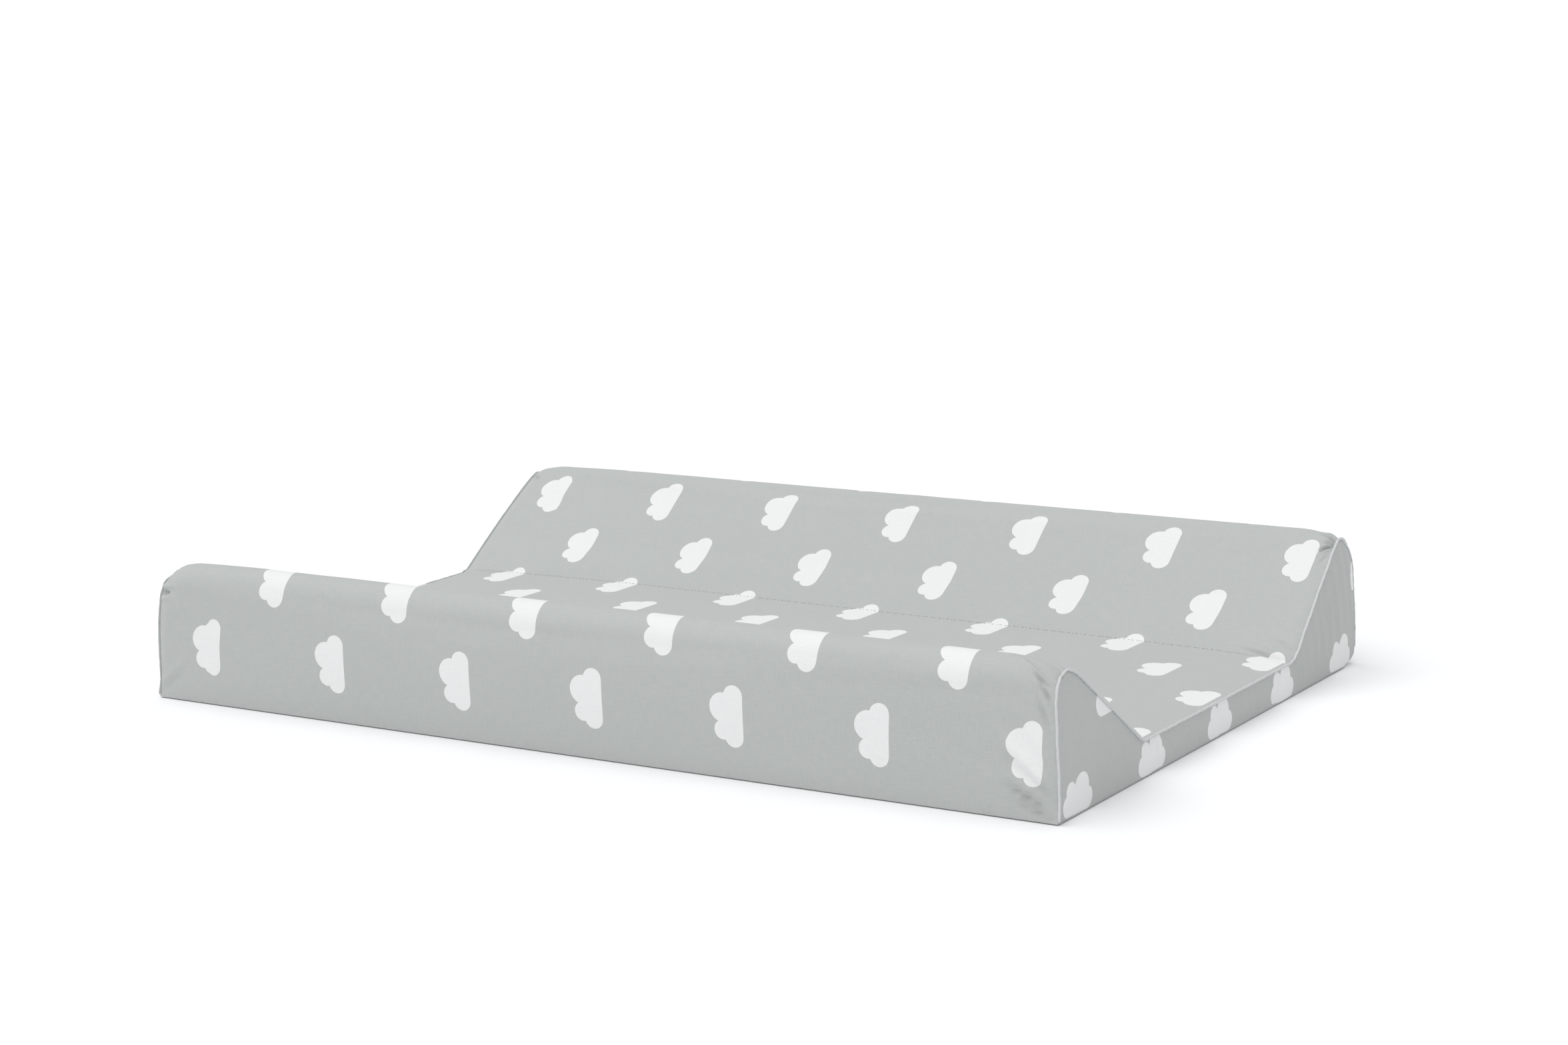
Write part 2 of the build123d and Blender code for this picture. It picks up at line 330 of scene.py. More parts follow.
rows = cut_rows()
columns = cut_columns()
printed_panel, row, column = flat_cloth("printed_panel", len(columns), len(rows))
shape, normal = wrapped(rows, columns)
arc, along = rows[row, 0], columns[column]
rough = ripples(arc, along, 55, 55, 3.1)
gap = half_length - np.abs(along)
border = (row == 0) | (row == len(rows) - 1) | (column == 0) | (column == len(columns) - 1)
crease_row = (np.abs(arc - front_crease) < 1e-5) | (np.abs(arc - rear_crease) < 1e-5)
start = shape[row, column] + normal[row, column] * (rough * 0.0003 * (~border & ~crease_row))[:, None]
move_to(printed_panel, start)
near_welt = np.exp(-gap / 0.018)
ruck = np.array([0.5 + noise.noise(Vector((a * 16, 7.7 + np.sign(x), 0.5))) for a, x in zip(arc, along)])
settle(
    printed_panel,
    outward=normal[row, column],
    held=(border | crease_row).astype(float),
    slack=np.clip(near_welt * np.clip(ruck * 1.4, 0.1, 1), 0, 1),
    pressure=1.2,
    ease_in=0.05,
    cap=0.003,
)


point, face = corner_points(printed_panel)
face_row = np.full(len(printed_panel.data.polygons), len(rows))
np.minimum.at(face_row, face, row[point])
face_arc = (rows[face_row, 0] + rows[face_row + 1, 0])[face] / 2


def print_offset(arc):
    """How far the print has slipped across and along the cloth by each row."""
    step = np.searchsorted([0.1265, 0.1745, 0.2235, 0.506], arc)
    shift = np.array([0, 0.009, 0.018, 0.024, 0.0269])[step]
    slide = np.interp(arc, [0.2235, 0.2245, 0.506, 0.514], [0, -0.0027, -0.0027, 0.0096])
    return shift, slide


def print_drift(arc, x):
    """How far along the pad the print has crept from its even rows, where the cloth was pulled."""
    at_x = [-0.375, -0.326, -0.212, -0.099, 0.014, 0.128, 0.241, 0.355, 0.375]
    front = np.interp(x, at_x, np.array([0, 0, 6, 5, 3.5, 3, -0.5, -3.5, -3.5]) * 1e-3)
    ridge = np.interp(x, at_x, np.array([7, 7, 6, 5, 3, 2.4, 2, 1.5, 1.5]) * 1e-3)
    lower = np.interp(x, at_x, np.array([3, 3, 3, 2.5, 2.5, 3, 3.5, 3, 3]) * 1e-3)
    upper = np.interp(x, at_x, np.array([-3, -3, 0, 0, 0, 1.5, 2.3, 5, 5]) * 1e-3)
    heights = [0.044, 0.102, 0.13, 0.5, 0.535, 0.593, 0.64]
    levels = [front, ridge, 0 * x, 0 * x, lower, upper, upper]
    drift = 0 * x
    for k in range(len(heights) - 1):
        share = np.clip((arc - heights[k]) / (heights[k + 1] - heights[k]), 0, 1)
        inside = (arc >= heights[k]) & (arc < heights[k + 1])
        drift = np.where(inside, levels[k] * (1 - share) + levels[k + 1] * share, drift)
    drift = np.where(arc < heights[0], front, drift)
    return np.where(arc >= heights[-1], upper, drift)


def print_place(arc, x, shift, slide):
    """Where a point of the cloth falls on the print."""
    across = np.maximum(arc + shift, 0.0095)
    lengthwise = x - print_drift(arc, x)
    on_wedge = (arc < 0.2235) | (arc > 0.506)
    lengthwise = np.where(on_wedge, np.maximum(lengthwise, 0.0065 - half_length), lengthwise)
    return np.stack([across, lengthwise + slide], -1)


lay_map(printed_panel, "print", print_place(arc[point], along[point], *print_offset(face_arc)))
lay_map(printed_panel, "weave", np.stack([along[point], arc[point]], -1))
gather = np.exp(-((half_length - np.abs(along)) / 0.011))
lay_map(printed_panel, "gather", np.stack([arc + 0.3 * (along > 0), gather], -1)[point])
drop_first_map(printed_panel)
finish_cloth(printed_panel)


def folds(where, outward, arc, along, marks):
    """Adds folds. Each mark: arc, x, angle in degrees, length, width, height (minus for a tuck), in mm."""
    for s0, x0, angle, length, width, height in marks:
        s0, x0, length, width, height = (size / 1000 for size in (s0, x0, length, width, height))
        turn = math.radians(angle)
        ds, dx = arc - s0, along - x0
        lengthwise = dx * math.cos(turn) + ds * math.sin(turn)
        across = -dx * math.sin(turn) + ds * math.cos(turn)
        amount = height * np.exp(-((lengthwise / length) ** 2)) * np.exp(-((across / width) ** 2))
        where = where + outward * amount[:, None]
    return where


fold_marks = [
    (22, 350, -27, 18, 2.6, 2.7), (17, 351, -22, 19, 2.2, -2.7), (12, 356, -20, 15, 2, 2.4),
    (7, 361, -16, 12, 1.8, -2.2), (30, 352, -34, 22, 3, -2.7), (37, 354, -42, 24, 3, 2.4),
    (47, 358, -52, 22, 3.2, -1.7), (26, 330, -24, 22, 4, 1.5), (36, 318, -26, 24, 4.4, -1.4),
    (70, 367, -70, 12, 1.8, -1.9), (84, 368.5, -55, 7, 1.4, -3.5), (87, 366, -50, 8.5, 1.6, 1.9),
    (94, 364, -42, 9, 1.6, -2.6), (99, 360, -36, 11, 2, 1.6), (105, 358, -30, 12, 2, -1.6),
    (118, 364, -12, 9, 1.8, -1.6), (81, -370.5, 8, 5.5, 1.6, -4.2), (85.5, -369, 8, 7, 1.8, 1.6),
    (76.5, -369, 6, 6.5, 1.8, 1.2), (82, -360, -38, 13, 2.6, -0.9), (74, -353, -42, 13, 2.6, 0.8),
    (107, -369.5, -12, 6, 1.6, -3), (121, -368, -12, 7, 1.8, 1.2), (12, -364, 34, 14, 2.4, -1.4),
    (20, -362, 40, 15, 2.6, 1), (497.5, 356, -8, 20, 1.5, -2.8), (503, 361, -16, 14, 2, 1.5),
    (509.5, 365, -24, 10, 1.8, -1.2), (608.5, 370, 42, 6.5, 1.8, -5.8), (604, 369, 38, 6, 1.4, 1.8),
    (613, 370, 4, 5, 1.2, -2.8), (620.5, 369, -34, 7.5, 1.9, -6.2), (625.5, 367, -32, 8, 1.6, 1.8),
    (616.5, 366, -30, 7, 1.4, 1.2), (634, 369, -20, 6, 1.4, -2.4), (642, 368.5, 8, 6, 1.6, -1.6),
    (595, 370, 60, 6, 1.4, -1.4), (713, 354, 30, 18, 3, -1.8), (723, 356, 24, 16, 2.6, 1.6),
    (696, 356, 44, 20, 3.2, -1.3), (716, -356, -30, 18, 3, -1.3), (630, -369, 16, 6.5, 1.4, -3),
    (635, -367, 14, 8, 1.8, 1.4), (611, -369, -24, 6.5, 1.4, -2.6), (140, -368, -20, 8, 1.8, -1.2),
]


def cloth_places(piece):
    """Each point's place on the flat cloth, read back from the weave map."""
    point, face = corner_points(piece)
    flat = np.zeros(len(point) * 2, np.float32)
    piece.data.uv_layers["weave"].data.foreach_get("uv", flat)
    spread = np.zeros((len(piece.data.vertices), 2))
    spread[point] = flat.reshape(-1, 2)
    return spread[:, 0], spread[:, 1]


def outward_of(piece):
    """The direction in which each point of a mesh faces."""
    found = np.zeros(len(piece.data.vertices) * 3, np.float32)
    piece.data.vertices.foreach_get("normal", found)
    return found.reshape(-1, 3).astype(float)


fine_x, fine_arc = cloth_places(printed_panel)
loose = ease((half_length - np.abs(fine_x) - 0.0001) / 0.0012) * ease((fine_arc - 0.001) / 0.003)
loose = loose * ease((cloth_length - fine_arc - 0.001) / 0.003)
smooth_shape = places(printed_panel)
creased = folds(smooth_shape, outward_of(printed_panel), fine_arc, fine_x, fold_marks)
move_to(printed_panel, smooth_shape + (creased - smooth_shape) * loose[:, None])


class Shade:
    """One value or colour among a material's nodes. Python's operators on it add Math nodes."""

    def __init__(self, tree, socket=None):
        self.tree = tree
        self.socket = socket

    def node(self, kind, settings=None, sockets=None, output=0):
        """Adds a node: its settings first, then the values or links of its sockets."""
        made = self.tree.nodes.new(kind)
        for name, value in (settings or {}).items():
            setattr(made, name, value)
        for name, value in (sockets or {}).items():
            if isinstance(value, Shade):
                self.tree.links.new(value.socket, made.inputs[name])
            else:
                made.inputs[name].default_value = value
        return Shade(self.tree, made.outputs[output])

    def math(self, operation, *values):
        return self.node("ShaderNodeMath", {"operation": operation}, dict(enumerate(values)))

    def __truediv__(self, other):
        return self.math("DIVIDE", self, other)

    def __abs__(self):
        return self.math("ABSOLUTE", self)

    def least(self, other):
        return self.math("MINIMUM", self, other)

    def most(self, other):
        return self.math("MAXIMUM", self, other)

    def speckle(self, where, scale, detail):
        """A noise texture over these coordinates."""
        return self.node("ShaderNodeTexNoise", sockets={"Vector": where, "Scale": scale, "Detail": detail})

    def bump(self, height, strength, distance):
        """A bump in the surface from a field of heights."""
        sockets = {"Height": height, "Strength": strength, "Distance": distance}
        return self.node("ShaderNodeBump", sockets=sockets)

    def mix(self, low, high):
        """Goes from the low colour to the high one as this value goes from 0 to 1."""
        settings = {"data_type": "RGBA"}
        return self.node("ShaderNodeMix", settings, {0: self, 6: low, 7: high}, output=2)


def operator_node(kind, swapped=False):
    """A method that adds a Math node for one of Python's operators."""
    if swapped:
        return lambda self, other: self.math(kind, other, self)
    return lambda self, other: self.math(kind, self, other)


for name, kind in (("add", "ADD"), ("sub", "SUBTRACT"), ("mul", "MULTIPLY")):
    setattr(Shade, f"__{name}__", operator_node(kind))
    setattr(Shade, f"__r{name}__", operator_node(kind, swapped=True))


def new_material(name, **plain):
    """A material with one Principled shader. Values that are the same all over go on its own sockets."""
    material = bpy.data.materials.new(name)
    material.use_nodes = True
    shader = material.node_tree.nodes["Principled BSDF"]
    for socket, value in plain.items():
        shader.inputs[socket.replace("_", " ")].default_value = value
    return material, Shade(material.node_tree), shader


def feed(shader, **fields):
    """Links what changes over the surface to the shader's sockets."""
    for socket, field in fields.items():
        shader.id_data.links.new(field.socket, shader.inputs[socket.replace("_", " ")])


def thread_fields(start, uv, pitch, slub):
    """A plain weave: how high the threads stand, and how light or dark each thread is."""
    sets = {"noise_dimensions": "2D"}
    parts = start.node("ShaderNodeSeparateXYZ", sockets={0: uv})
    u, v = parts, Shade(start.tree, parts.socket.node.outputs[1])
    stretch_u = start.node("ShaderNodeMapping", sockets={"Vector": uv, "Scale": (1 / pitch, 1 / slub, 1)})
    stretch_v = start.node("ShaderNodeMapping", sockets={"Vector": uv, "Scale": (1 / slub, 1 / pitch, 1)})
    warp = start.node("ShaderNodeTexNoise", sets, {"Vector": stretch_u, "Scale": 0.9, "Detail": 1.0})
    weft = start.node("ShaderNodeTexNoise", sets, {"Vector": stretch_v, "Scale": 0.9, "Detail": 1.0})
    over_u = start.math("SINE", u * (math.pi / pitch))
    over_v = start.math("SINE", v * (math.pi / pitch))
    height = over_u * over_v * 0.5 + 0.5
    return height, warp, weft


row_step, cloud_step = 57.5, 113.5
bare_print = 0.0157


def cloud_mask(start, uv):
    """1 inside the white clouds. They stand in rows, each half a step from the next, all in mm."""
    parts = start.node("ShaderNodeSeparateXYZ", sockets={0: uv})
    p, x = parts, Shade(start.tree, parts.socket.node.outputs[1])
    from_first = (p * 1000 - 44.5) / row_step
    nearest = start.math("ROUND", from_first)
    u = (from_first - nearest) * row_step + 21.45
    odd = start.math("PINGPONG", nearest, 1.0)
    half_step = cloud_step / 2
    shifted = x * -1000 + 14.1 + odd * half_step + half_step
    v = start.math("FLOORED_MODULO", shifted, cloud_step) - half_step + 13.1
    inside = abs(u - 21.4) - 14.0
    inside = inside.most(abs(v - 8.0) - 8.0)
    puffs = ((7.4, 7.5, 7.4), (11.5, 16.2, 6.8), (27.0, 16.0, 10.2), (35.4, 7.5, 7.5))
    for centre_u, centre_v, radius in puffs:
        du = u - centre_u
        dv = v - centre_v
        reach = start.math("SQRT", du * du + dv * dv) - radius
        inside = inside.least(reach)
    settings = {"interpolation_type": "SMOOTHSTEP", "clamp": True}
    spread = {"Value": inside, "From Min": 0.14, "From Max": -0.14, "To Min": 0.0, "To Max": 1.0}
    return start.node("ShaderNodeMapRange", settings, spread)


def woven(name, base, deep, pitch, slub, bump, sheen, printed=None, **plain):
    """A woven cloth: two tones by thread, a plain-weave bump, a little sheen, and clouds if printed."""
    values = {"Specular_IOR_Level": 0.35, "Sheen_Weight": sheen, "Sheen_Roughness": 0.5, **plain}
    material, start, shader = new_material(name, **values)
    uv = start.node("ShaderNodeUVMap", {"uv_map": "weave"})
    height, warp, weft = thread_fields(start, uv, pitch, slub)
    tone = (warp + weft) * 0.5
    contrast = {"Value": tone, "From Min": 0.36, "From Max": 0.64}
    tone = start.node("ShaderNodeMapRange", {"clamp": True}, contrast)
    patch = start.speckle(uv, 9.0, 3.0)
    colour = (0.2 + tone * 0.45 + patch * 0.25).mix(deep, base)
    if printed:
        mask = cloud_mask(start, start.node("ShaderNodeUVMap", {"uv_map": "print"}))
        ink = (0.3 + tone * 0.45 + patch * 0.2).mix(*printed)
        colour = mask.mix(colour, ink)
    relief = height * 0.7 + warp * 0.3 + weft * 0.3
    sockets = {"Height": relief, "Strength": bump, "Distance": pitch * 0.35}
    if printed:
        gathered = start.node("ShaderNodeUVMap", {"uv_map": "gather"})
        parts = start.node("ShaderNodeSeparateXYZ", sockets={0: gathered})
        weight = Shade(start.tree, parts.socket.node.outputs[1])
        spot = start.node("ShaderNodeCombineXYZ", sockets={0: parts, 1: weight * 0.006})
        rough = {"Vector": spot, "Scale": 190.0, "Detail": 1.5}
        ruck = start.node("ShaderNodeTexNoise", {"noise_dimensions": "2D"}, rough)
        sockets["Normal"] = start.bump(ruck * weight, 0.55, 0.0016)
    feed(
        shader,
        Base_Color=colour,
        Roughness=0.6 + tone * 0.1 + patch * 0.06,
        Normal=start.node("ShaderNodeBump", sockets=sockets),
    )
    return material


cloud_white = ((0.745, 0.748, 0.745, 1), (0.815, 0.818, 0.812, 1))
printed_cotton = woven(
    "printed_cotton",
    base=(0.486, 0.504, 0.49, 1),
    deep=(0.412, 0.432, 0.424, 1),
    pitch=0.00048,
    slub=0.009,
    bump=0.35,
    sheen=0.08,
    printed=cloud_white,
)
printed_panel.data.materials.append(printed_cotton)
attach(printed_panel, "pad")
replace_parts(printed_panel, "top_panel")


# --- The two end panels ---
# Each is one piece of the printed cotton that closes an end from the front wall to the rear one. The
# left one has a hemmed opening along its foot for the zip. The cloth gathers a little below the welts.
window_half = 0.221
window_low, window_high = 0.008, 0.018
window_middle = (window_low + window_high) / 2
seam = {1: shape[:, -1], -1: shape[:, 0]}
wall_rows = 19


def thicken(piece, thickness, offset=-1):
    """Gives a sheet its cloth's thickness."""
    bpy.context.view_layer.objects.active = piece
    solid = piece.modifiers.new("cloth_thickness", "SOLIDIFY")
    solid.thickness = thickness
    solid.offset = offset
    bpy.ops.object.modifier_apply(modifier=solid.name)


def end_heights(side, count):
    """How high up an end panel each row lies: a fixed height, then a share of what is left above it."""
    if side > 0:
        return np.zeros(count), np.linspace(0, 1, count)
    fixed = [base_top, 0.0032, 0.0056, window_low, 0.0105, 0.013, 0.0155, window_high]
    heights = np.array(fixed + [window_high] * (count - len(fixed)))
    shares = np.concatenate([np.zeros(len(fixed) - 1), np.linspace(0, 1, count - len(fixed) + 1)])
    return heights, shares


def end_panel(name, side, count):
    """The panel before it is gathered, with its outline on the seam that the long panel ends at."""
    path = seam[side][wall_rows:-wall_rows]
    piece, row, column = flat_cloth(name, len(path), count)
    column = column if side > 0 else len(path) - 1 - column
    heights, shares = end_heights(side, count)
    if side > 0:
        heights = heights + base_top
    top = path[column, 2]
    z = heights[row] + shares[row] * (top - heights[row])
    y = path[column, 1].copy()
    x = half_length - lean_in(z, side)
    rise = np.clip((z - base_top) / (top - base_top), 0, 1)
    swell = np.sin(np.pi * rise) * np.clip((top - base_top) / 0.09, 0.2, 1) * 0.0016
    swell = swell * ease((half_width - np.abs(y) - 0.001) / 0.03)
    if side < 0:
        swell = swell * ease((z - 0.022) / 0.03)
    x = x + swell
    low = np.clip((base_top + hem_corner - z) / hem_corner, 0, 1)
    rounded = half_width - hem_corner + hem_corner * np.sqrt(1 - low**2)
    z = z + hem_lift * low**3 * rear_lift(y)
    front_wall, rear_wall = seam[side][: wall_rows + 1], seam[side][-wall_rows - 1 :][::-1]
    near_front = np.clip(1 - (y - path[0, 1]) / 0.02, 0, 1)
    near_rear = np.clip(1 - (path[-1, 1] - y) / 0.02, 0, 1)
    y = y + near_front * (np.interp(z, front_wall[:, 2], front_wall[:, 1]) - path[0, 1])
    y = y + near_rear * (np.interp(z, rear_wall[:, 2], rear_wall[:, 1]) - path[-1, 1])
    y = np.where(near_rear > 0, y, np.minimum(y, rounded))
    move_to(piece, np.stack([side * x, y, z], -1))
    outer = (column == 0) | (column == len(path) - 1) | (row == 0) | (row == count - 1)
    return piece, row, column, outer


def end_top(side, y):
    """The height of an end panel's upper edge."""
    path = seam[side][wall_rows:-wall_rows]
    return np.interp(y, path[:, 1], path[:, 2])


def dress_end(piece, side, y, z):
    """Lays the print and the weave on an end panel: clouds stand upright, their flat sides down."""
    point, face = corner_points(piece)
    upper = z[point] > 0.045
    drift = np.interp(y[point], [-0.2, 0.2], [0.004, 0.012])
    across = 0.0445 + (y[point] + 0.002 + drift * upper) * 115 / 110.6
    height = 0.0272 - (z[point] - 0.0015) - 0.002 * upper
    middle = np.zeros((len(piece.data.polygons), 2))
    np.add.at(middle, face, np.stack([y[point], z[point]], -1) / 4)
    plain = (middle[face, 0] > 0.11) & (middle[face, 0] < 0.215) & (middle[face, 1] > 0.047)
    across = np.where(plain, bare_print, across)
    height = np.where(plain, 0.0, height)
    lay_map(piece, "print", np.stack([across, height], -1))
    lay_map(piece, "weave", np.stack([y[point], z[point]], -1))
    top = end_top(side, y)
    gather = np.exp(-(top - z) / 0.014) * 0.8 + 0.15
    lay_map(piece, "gather", np.stack([y + 0.12 * z, gather], -1)[point])
    drop_first_map(piece)


end_pieces = {}
for side, name in ((1, "end_panel_right_cloth"), (-1, "end_panel_left_cloth")):
    piece, row, column, outer = end_panel(name, side, 23)
    where = places(piece)
    y, z = where[:, 1].copy(), where[:, 2].copy()
    if side > 0:
        fixed = outer
    else:
        fixed = outer | (z < 0.0225)
    ruffle = ripples(y, z, 60, 14, 5.5)
    where[:, 0] += side * ruffle * 0.0005 * ~fixed
    move_to(piece, where)
    settle(
        piece,
        outward=np.tile([float(side), 0.0, 0.0], (len(y), 1)),
        held=fixed.astype(float),
        slack=np.clip(0.35 + ruffle, 0.1, 1),
        pressure=2.0,
        ease_in=0.035,
        cap=0.0035,
    )
    dress_end(piece, side, y, z)
    end_pieces[side] = piece

end_right = end_pieces[1]
end_left = end_pieces[-1]

bpy.ops.object.select_all(action="DESELECT")
bpy.context.view_layer.objects.active = end_left
end_left.select_set(True)
bpy.ops.object.mode_set(mode="EDIT")
bpy.ops.mesh.select_all(action="DESELECT")
bpy.ops.mesh.select_mode(type="FACE")
bpy.ops.object.mode_set(mode="OBJECT")
for polygon in end_left.data.polygons:
    middle = polygon.center
    polygon.select = abs(middle.y) < window_half and window_low < middle.z < window_high
bpy.ops.object.mode_set(mode="EDIT")
bpy.ops.mesh.delete(type="FACE")
bpy.ops.object.mode_set(mode="OBJECT")
for vertex in end_left.data.vertices:
    in_height = window_low - 1e-4 < vertex.co.z < window_high + 1e-4
    if abs(abs(vertex.co.y) - window_half) < 0.0008 and in_height:
        rounding = max(0, abs(vertex.co.z - window_middle) - 0.0024) / 0.0026
        vertex.co.y -= math.copysign(0.0022 * rounding, vertex.co.y)
        vertex.co.z -= math.copysign(0.0012 * rounding, vertex.co.z - window_middle)

# Each pleat: where it stands across the end, its middle's height, its width and its depth, in mm.
pleat_marks = [
    (158, 30, 3, 1), (171, 38, 3, 1.5), (184, 46, 3.4, 1.7), (198, 52, 3.4, 1.9), (212, 60, 3.6, 1.7),
    (227, 66, 3.4, 1.4), (241, 70, 3, 1.2), (137, 18, 2.4, 1.5), (146, 22, 2.6, 1.4), (120, 16, 2.2, 0.6),
    (104, 14, 2.4, 0.5), (71, 15, 2.4, 0.5), (52, 14, 2.4, 0.4), (-12, 15, 2.6, 0.5), (-34, 14, 2.6, 0.4),
    (-81, 15, 2.6, 0.5), (-97, 14, 2.4, 0.5), (-138, 24, 3.4, 0.4), (-152, 32, 3.4, 0.4),
]


def pleat(piece, side):
    """Soft upright pleats, where the end's slack was eased into the seam above."""
    where = places(piece)
    y, z = where[:, 1], where[:, 2]
    top = end_top(side, y)
    raised = 0 * y
    for sizes in pleat_marks:
        foot_y, middle_z, width, height = (size / 1000 for size in sizes)
        line = foot_y + (middle_z - z) * 0.16
        reach = np.exp(-(((z - middle_z) / (0.42 * middle_z + 0.006)) ** 2))
        raised += height * np.exp(-(((y - line) / width) ** 2)) * reach
    inside = ease((top - z) / 0.006) * ease((z - 0.004) / 0.01) * ease((0.2475 - np.abs(y)) / 0.006)
    if side < 0:
        inside = inside * ease((z - 0.024) / 0.008)
    where[:, 0] += side * raised * inside
    move_to(piece, where)


for piece, node, cut_area in ((end_right, "end_panel_right", 0.023), (end_left, "end_panel_left", 0.0188)):
    finish_cloth(piece)
    pleat(piece, 1 if piece == end_right else -1)
    thicken(piece, 0.0007)
    piece.data.materials.append(printed_cotton)
    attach(piece, "pad")
    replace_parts(piece, node)


# --- The welts ---
# A strip of cotton is folded round the raw edges and sewn into each end seam. It stands as a raised
# edge up the walls, over the wedges and into the creases, thicker at the right end. The right welt's
# cotton is painted paler than the panels, a painted highlight along its edge.
welt_radius = {1: 0.00125, -1: 0.00075}
welt_sides = 12

# Painted highlight: a paler copy of the printed cotton, standing for the light that the right welt's rounded
# edge catches.
welt_cotton_painted_highlight = woven(
    "welt_cotton_painted_highlight",
    base=(0.64, 0.655, 0.65, 1),
    deep=(0.52, 0.54, 0.54, 1),
    pitch=0.00048,
    slub=0.009,
    bump=0.35,
    sheen=0.1,
    printed=cloud_white,
)


def close_tube(piece):
    """Joins the two edges of a rolled grid and turns its faces outwards."""
    bpy.context.view_layer.objects.active = piece
    piece.select_set(True)
    bpy.ops.object.mode_set(mode="EDIT")
    bpy.ops.mesh.select_all(action="SELECT")
    bpy.ops.mesh.remove_doubles(threshold=0.00001)
    bpy.ops.mesh.normals_make_consistent(inside=False)
    bpy.ops.object.mode_set(mode="OBJECT")
    smooth(piece)


def welt(name, side):
    """A soft tube along an end's seam, standing out on the diagonal between the two panels."""
    path = seam[side]
    outward = normal[:, 0]
    steps = np.linalg.norm(np.diff(path, axis=0), axis=1)
    run = np.concatenate([[0], np.cumsum(steps)])
    count = int(run[-1] / 0.0015)
    at = np.linspace(0.0012, run[-1] - 0.014, count)
    radius = welt_radius[side]
    centre = np.stack([np.interp(at, run, path[:, k]) for k in range(3)], -1)
    out = np.stack([np.interp(at, run, outward[:, k]) for k in range(3)], -1)
    out /= np.linalg.norm(out, axis=1)[:, None]
    sideways = np.array([side, 0, 0])
    behind = ease((out[:, 1] - 0.6) / 0.4)[:, None]
    diagonal = out * 0.62 + sideways * 0.78 * (1 - behind)
    tangent = np.gradient(centre, axis=0)
    tangent /= np.linalg.norm(tangent, axis=1)[:, None]
    diagonal -= tangent * np.sum(diagonal * tangent, axis=1)[:, None]
    diagonal /= np.linalg.norm(diagonal, axis=1)[:, None]
    flank = np.cross(tangent, diagonal)
    wobble = np.array([noise.noise(Vector((t * 260, 1.5 * side, 0.2))) for t in at])
    gather = np.array([noise.noise(Vector((t * 900, 4.5 * side, 0.7))) for t in at])
    piece, row, column = flat_cloth(name, welt_sides + 1, count)
    turn = 2 * np.pi * column / welt_sides
    slim = 1 - 0.45 * behind[row, 0]
    tall = slim * radius * (1.05 + 0.14 * wobble[row] + 0.1 * gather[row])
    wide = slim * radius * (0.66 + 0.1 * gather[row])
    spine = centre + diagonal * radius * 0.75 + flank * (wobble * 0.00035)[:, None]
    ring = diagonal[row] * (np.cos(turn) * tall)[:, None] + flank[row] * (np.sin(turn) * wide)[:, None]
    closing = np.where((row == 0) | (row == count - 1), 0.05, 1.0)
    move_to(piece, spine[row] + ring * closing[:, None])
    where = np.interp(at, run, rows[:, 0])[row]
    around = turn * radius
    point, face = corner_points(piece)
    on_print = print_place(where, side * half_length + 0 * where, *print_offset(where))
    lay_map(piece, "print", on_print[point])
    lay_map(piece, "weave", np.stack([where, around], -1)[point])
    lay_map(piece, "gather", np.stack([where * 1.7, 0.25 + 0 * where], -1)[point])
    drop_first_map(piece)
    close_tube(piece)
    # The right welt gets the paler cotton, a painted highlight; the left welt has the panels' own cotton.
    piece.data.materials.append(welt_cotton_painted_highlight if side > 0 else printed_cotton)
    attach(piece, "pad")
    return piece


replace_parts(welt("end_welt_right", 1), "welt_right")
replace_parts(welt("end_welt_left", -1), "welt_left")


# --- The underside and the seam round it ---
# Plain off-white cotton closes the bottom. Its edge is sewn to the walls in a narrow rolled seam
# that the pad stands on.
base_cloth = woven(
    "base_cloth",
    base=(0.8, 0.79, 0.76, 1),
    deep=(0.7, 0.69, 0.66, 1),
    pitch=0.0007,
    slub=0.012,
    bump=0.4,
    sheen=0.05,
)
front_edge = shape[0]
rear_edge = shape[-1][::-1]
rearward = np.linspace(-0.248, 0.238, 60)
right_edge = np.array([[half_length - lean_in(0.0, 1), y, base_top] for y in rearward])
left_edge = np.array([[-half_length + lean_in(0.0, -1), y, base_top] for y in rearward[::-1]])
for edge in (right_edge, left_edge):
    edge[:, 2] += hem_lift * rear_lift(edge[:, 1])
loop = np.concatenate([front_edge, right_edge, rear_edge, left_edge])
loop[:, 0] = np.clip(loop[:, 0], -half_length, half_length)
run = np.concatenate([[0], np.cumsum(np.linalg.norm(np.diff(loop, axis=0), axis=1))])
count = int(run[-1] / 0.004)
at = np.linspace(0, run[-1], count, endpoint=False)
ring = np.stack([np.interp(at, run, loop[:, k]) for k in range(3)], -1)
for _ in range(3):
    ring = (np.roll(ring, 1, 0) + 2 * ring + np.roll(ring, -1, 0)) / 4
ahead = np.roll(ring, -1, 0) - np.roll(ring, 1, 0)
ahead /= np.linalg.norm(ahead, axis=1)[:, None]
away = np.stack([ahead[:, 1], -ahead[:, 0], 0 * at], -1)

